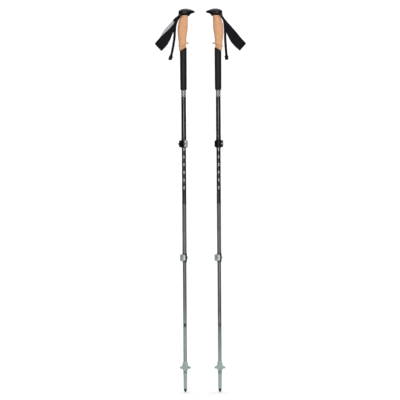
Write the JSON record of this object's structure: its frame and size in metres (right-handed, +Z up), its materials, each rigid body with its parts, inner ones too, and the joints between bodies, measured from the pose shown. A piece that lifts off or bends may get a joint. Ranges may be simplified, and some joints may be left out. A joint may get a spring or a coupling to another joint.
{
  "type": "trekking poles",
  "caption": "Pair of telescoping trekking poles with cork grips, foam sleeves, wrist straps, cam-lever clamps, small baskets and hard tips.",
  "frame": {"origin": "on the ground midway between the two tips", "axes": "+Z up along the poles, +X from the left pole to the right pole, the beak of the left grip towards +X"},
  "size_m": [0.3002, 0.0366, 1.252],
  "materials": {
    "head": "satin black",
    "cork": "matt cork",
    "foam": "matt closed-cell foam",
    "webbing": "woven",
    "lining": "brushed",
    "tube": "satin carbon",
    "lower_tube": "satin carbon",
    "plastic": "moulded",
    "lever": "satin anodised",
    "steel": "satin",
    "sage": "moulded",
    "tip": "dark carbide"
  },
  "bodies": {
    "left_upper": {"left_grip_head": "head", "left_head_pin": "steel", "left_cork_grip": "cork", "left_foam_sleeve": "foam", "left_strap_pin": "steel", "left_upper_tube": "tube", "left_upper_clamp_collar": "plastic", "left_upper_clamp_barrel": "steel"},
    "left_middle": {"left_middle_tube": "tube", "left_middle_plug": "plastic", "left_lower_clamp_collar": "plastic", "left_lower_clamp_barrel": "steel"},
    "left_lower": {"left_lower_tube": "lower_tube", "left_lower_plug": "plastic", "left_ferrule": "sage", "left_tip": "tip"},
    "left_basket": {"left_basket": "sage"},
    "left_strap": {"left_strap_loop": "webbing", "left_strap_lining": "lining"},
    "left_tail": {"left_strap_tail": "webbing"},
    "left_wedge": {"left_strap_wedge": "plastic"},
    "left_upper_lever": {"left_upper_clamp_lever": "lever"},
    "left_upper_screw": {"left_upper_clamp_screw": "steel"},
    "left_lower_lever": {"left_lower_clamp_lever": "lever"},
    "left_lower_screw": {"left_lower_clamp_screw": "steel"},
    "right_upper": {"right_grip_head": "head", "right_head_pin": "steel", "right_cork_grip": "cork", "right_foam_sleeve": "foam", "right_strap_pin": "steel", "right_upper_tube": "tube", "right_upper_clamp_collar": "plastic", "right_upper_clamp_barrel": "steel"},
    "right_middle": {"right_middle_tube": "tube", "right_middle_plug": "plastic", "right_lower_clamp_collar": "plastic", "right_lower_clamp_barrel": "steel"},
    "right_lower": {"right_lower_tube": "lower_tube", "right_lower_plug": "plastic", "right_ferrule": "sage", "right_tip": "tip"},
    "right_basket": {"right_basket": "sage"},
    "right_strap": {"right_strap_loop": "webbing", "right_strap_lining": "lining"},
    "right_tail": {"right_strap_tail": "webbing"},
    "right_wedge": {"right_strap_wedge": "plastic"},
    "right_upper_lever": {"right_upper_clamp_lever": "lever"},
    "right_upper_screw": {"right_upper_clamp_screw": "steel"},
    "right_lower_lever": {"right_lower_clamp_lever": "lever"},
    "right_lower_screw": {"right_lower_clamp_screw": "steel"}
  },
  "joints": [
    {"name": "left_middle_slide", "type": "slide", "parent": "left_upper", "child": "left_middle", "axis": [0, 0, 1], "range_m": [-0.025, 0.28]},
    {"name": "left_lower_slide", "type": "slide", "parent": "left_middle", "child": "left_lower", "axis": [0, 0, 1], "range_m": [-0.025, 0.32]},
    {"name": "left_basket_off", "type": "slide", "parent": "left_lower", "child": "left_basket", "axis": [0, 0, -1], "range_m": [0, 0.13]},
    {"name": "left_upper_lever_turn", "type": "hinge", "parent": "left_upper", "child": "left_upper_lever", "pos_m": [-0.0505, -0.01391, 0.8105], "axis": [0, 0, -1], "range_deg": [0, 120]},
    {"name": "left_upper_screw_turn", "type": "hinge", "parent": "left_upper", "child": "left_upper_screw", "pos_m": [-0.06015, -0.01059, 0.8105], "axis": [0.9455, -0.3256, 0], "continuous": true},
    {"name": "left_lower_lever_turn", "type": "hinge", "parent": "left_middle", "child": "left_lower_lever", "pos_m": [-0.06703, 0.00882, 0.4388], "axis": [0, 0, -1], "range_deg": [0, 120]},
    {"name": "left_lower_screw_turn", "type": "hinge", "parent": "left_middle", "child": "left_lower_screw", "pos_m": [-0.05792, 0.0101, 0.4388], "axis": [-0.9903, -0.1392, 0], "continuous": true},
    {"name": "left_strap_swing", "type": "hinge", "parent": "left_upper", "child": "left_strap", "pos_m": [-0.0683, 0, 1.229], "axis": [0, 1, 0], "range_deg": [0, 60]},
    {"name": "left_tail_swing", "type": "hinge", "parent": "left_upper", "child": "left_tail", "pos_m": [-0.0683, 0, 1.229], "axis": [0, 1, 0], "range_deg": [0, 12]},
    {"name": "left_wedge_pull", "type": "slide", "parent": "left_upper", "child": "left_wedge", "axis": [-1, 0, 0], "range_m": [0, 0.005]},
    {"name": "right_pole_apart", "type": "slide", "parent": "left_upper", "child": "right_upper", "axis": [1, 0, 0], "range_m": [0, 0.3]},
    {"name": "right_middle_slide", "type": "slide", "parent": "right_upper", "child": "right_middle", "axis": [0, 0, 1], "range_m": [-0.025, 0.28]},
    {"name": "right_lower_slide", "type": "slide", "parent": "right_middle", "child": "right_lower", "axis": [0, 0, 1], "range_m": [-0.025, 0.32]},
    {"name": "right_basket_off", "type": "slide", "parent": "right_lower", "child": "right_basket", "axis": [0, 0, -1], "range_m": [0, 0.13]},
    {"name": "right_upper_lever_turn", "type": "hinge", "parent": "right_upper", "child": "right_upper_lever", "pos_m": [0.06696, 0.01096, 0.8105], "axis": [0, 0, -1], "range_deg": [0, 120]},
    {"name": "right_upper_screw_turn", "type": "hinge", "parent": "right_upper", "child": "right_upper_screw", "pos_m": [0.06767, 0.00078, 0.8105], "axis": [-0.0698, 0.9976, 0], "continuous": true},
    {"name": "right_lower_lever_turn", "type": "hinge", "parent": "right_middle", "child": "right_lower_lever", "pos_m": [0.04567, 0.00845, 0.4388], "axis": [0, 0, -1], "range_deg": [0, 120]},
    {"name": "right_lower_screw_turn", "type": "hinge", "parent": "right_middle", "child": "right_lower_screw", "pos_m": [0.05473, 0.01005, 0.4388], "axis": [-0.9848, -0.1736, 0], "continuous": true},
    {"name": "right_strap_swing", "type": "hinge", "parent": "right_upper", "child": "right_strap", "pos_m": [0.0683, 0, 1.229], "axis": [0, -1, 0], "range_deg": [0, 60]},
    {"name": "right_tail_swing", "type": "hinge", "parent": "right_upper", "child": "right_tail", "pos_m": [0.0683, 0, 1.229], "axis": [0, -1, 0], "range_deg": [0, 12]},
    {"name": "right_wedge_pull", "type": "slide", "parent": "right_upper", "child": "right_wedge", "axis": [1, 0, 0], "range_m": [0, 0.005]}
  ]
}
